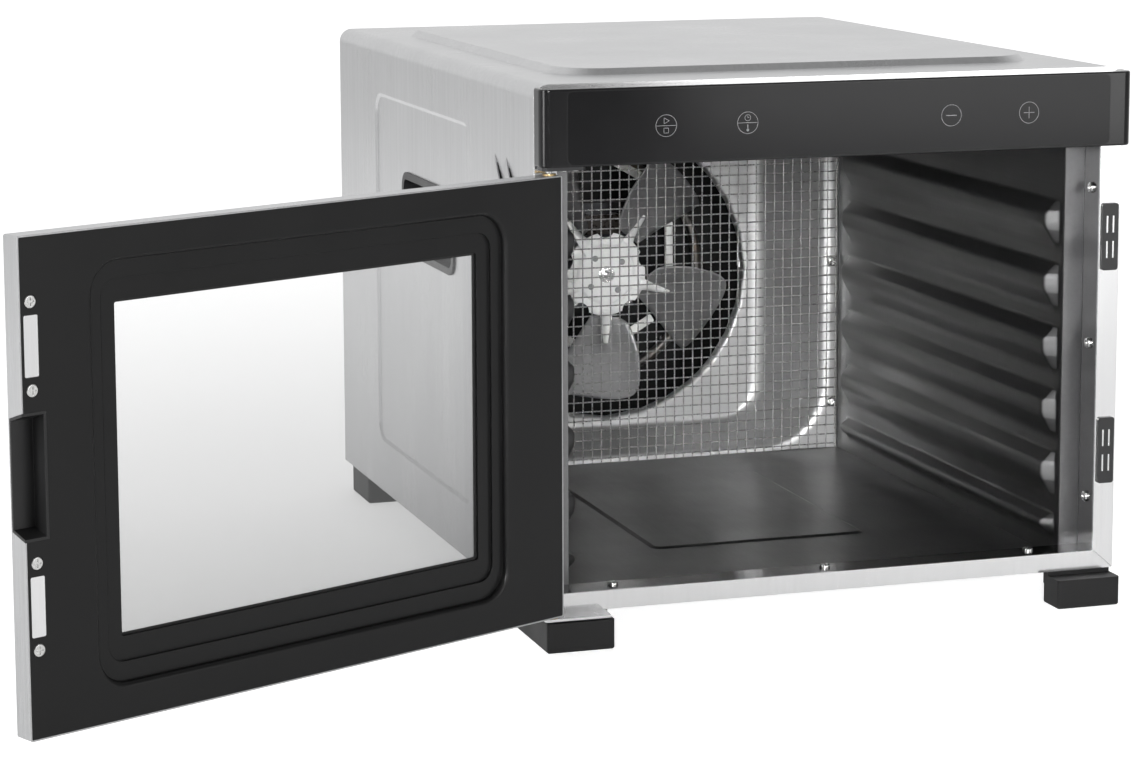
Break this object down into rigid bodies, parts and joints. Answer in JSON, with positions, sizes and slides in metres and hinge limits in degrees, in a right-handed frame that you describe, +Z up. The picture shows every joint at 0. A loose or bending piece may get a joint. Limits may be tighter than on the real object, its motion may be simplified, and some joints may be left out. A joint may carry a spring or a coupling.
{
  "type": "food dehydrator",
  "caption": "Boxy steel countertop food dehydrator with side-hinged glass door, railed drying cavity, rear fan behind a wire guard and a black touch control bar.",
  "frame": {"origin": "centre of the cabinet's footprint, on the plane that the feet stand on", "axes": "+Z up, -Y towards the user (the door side), +X to the right seen from the front"},
  "size_m": [0.6463, 0.5923, 0.3095],
  "materials": {
    "bar_gloss_black": "high gloss moulding",
    "base_steel": "plain galvanised sheet",
    "black_painted_steel": "satin black paint",
    "blade_aluminium": "rolled aluminium sheet",
    "brass_contacts": "plated brass",
    "bush_bronze": "sintered bronze",
    "cabinet_steel": "vertically brushed stainless sheet",
    "circuit_board": "green solder mask",
    "component_black": "component cases",
    "copper_winding": "enamelled copper winding under clear varnish",
    "display_black": "smoked, unlit",
    "door_glass_pane": "clear toughened pane",
    "door_panel_black": "satin charcoal moulding",
    "foot_rubber": "moulded rubber",
    "guard_wire": "plain bright wire",
    "heater_sheath": "heat-darkened sheath",
    "hub_bright": "bright pressed aluminium",
    "lamination_steel": "stacked laminations, dark varnish",
    "liner_steel": "satin stainless, rolled finish",
    "motor_zinc": "die-cast zinc plate",
    "moulded_black": "fine moulded texture",
    "nylon_white": "natural nylon",
    "pan_steel": "bright drawn stainless",
    "pin_steel": "ground steel",
    "pole_steel": "bright pole plates",
    "polished_trim": "bright polished stainless",
    "reflector_strip": "bright strip",
    "screw_zinc": "zinc plated",
    "seal_rubber": "silicone strip",
    "sensor_tube": "drawn tube",
    "thermostat_body": "phenolic",
    "touch_film": "gloss printed film"
  },
  "bodies": {
    "root": {"base_panel": "base_steel", "board_posts": "nylon_white", "catch_poles": "pole_steel", "cavity_ceiling": "liner_steel", "cavity_collar": "liner_steel", "cavity_floor": "liner_steel", "control_board": "circuit_board", "control_housing": "bar_gloss_black", "display_module": "display_black", "fan_pan": "pan_steel", "foot_screws": "screw_zinc", "frame_screws": "screw_zinc", "front_frame": "polished_trim", "front_left_foot": "foot_rubber", "front_right_foot": "foot_rubber", "heater_element": "heater_sheath", "heater_plates": "reflector_strip", "hinge_pins": "pin_steel", "inlet_pins": "brass_contacts", "key_pads": "brass_contacts", "left_hand_hold": "moulded_black", "left_rail_wall": "liner_steel", "lower_hinge_plate": "polished_trim", "magnet_catches": "moulded_black", "mesh_guard": "guard_wire", "mesh_screws": "screw_zinc", "motor_bearings": "motor_zinc", "motor_coil": "copper_winding", "motor_core": "lamination_steel", "outer_shell": "cabinet_steel", "power_board": "circuit_board", "power_board_parts": "component_black", "power_inlet": "moulded_black", "rear_left_foot": "foot_rubber", "rear_panel": "cabinet_steel", "rear_panel_screws": "screw_zinc", "rear_right_foot": "foot_rubber", "rear_standoffs": "screw_zinc", "right_hand_hold": "moulded_black", "right_rail_wall": "liner_steel", "small_screws": "screw_zinc", "temperature_sensor": "sensor_tube", "thermal_cutout": "thermostat_body", "touch_panel": "touch_film", "upper_hinge_bracket": "black_painted_steel"},
    "fan": {"fan_blades": "blade_aluminium", "fan_hub": "hub_bright", "fan_rivets": "blade_aluminium", "fan_nut": "screw_zinc", "motor_shaft": "pin_steel", "motor_rotor": "lamination_steel"},
    "door": {"door_outer_skin": "cabinet_steel", "door_inner_panel": "door_panel_black", "door_glass": "door_glass_pane", "glass_seal": "seal_rubber", "door_strikes": "polished_trim", "strike_screws": "screw_zinc", "finger_pocket": "moulded_black", "door_bushes": "bush_bronze"}
  },
  "joints": [
    {"name": "fan_spin", "type": "hinge", "parent": "root", "child": "fan", "pos_m": [0, 0.186, 0.14], "axis": [0, -1, 0], "continuous": true},
    {"name": "door_hinge", "type": "hinge", "parent": "root", "child": "door", "pos_m": [-0.1666, -0.22475, 0.14], "axis": [0, 0, -1], "range_deg": [-155, 25]}
  ]
}
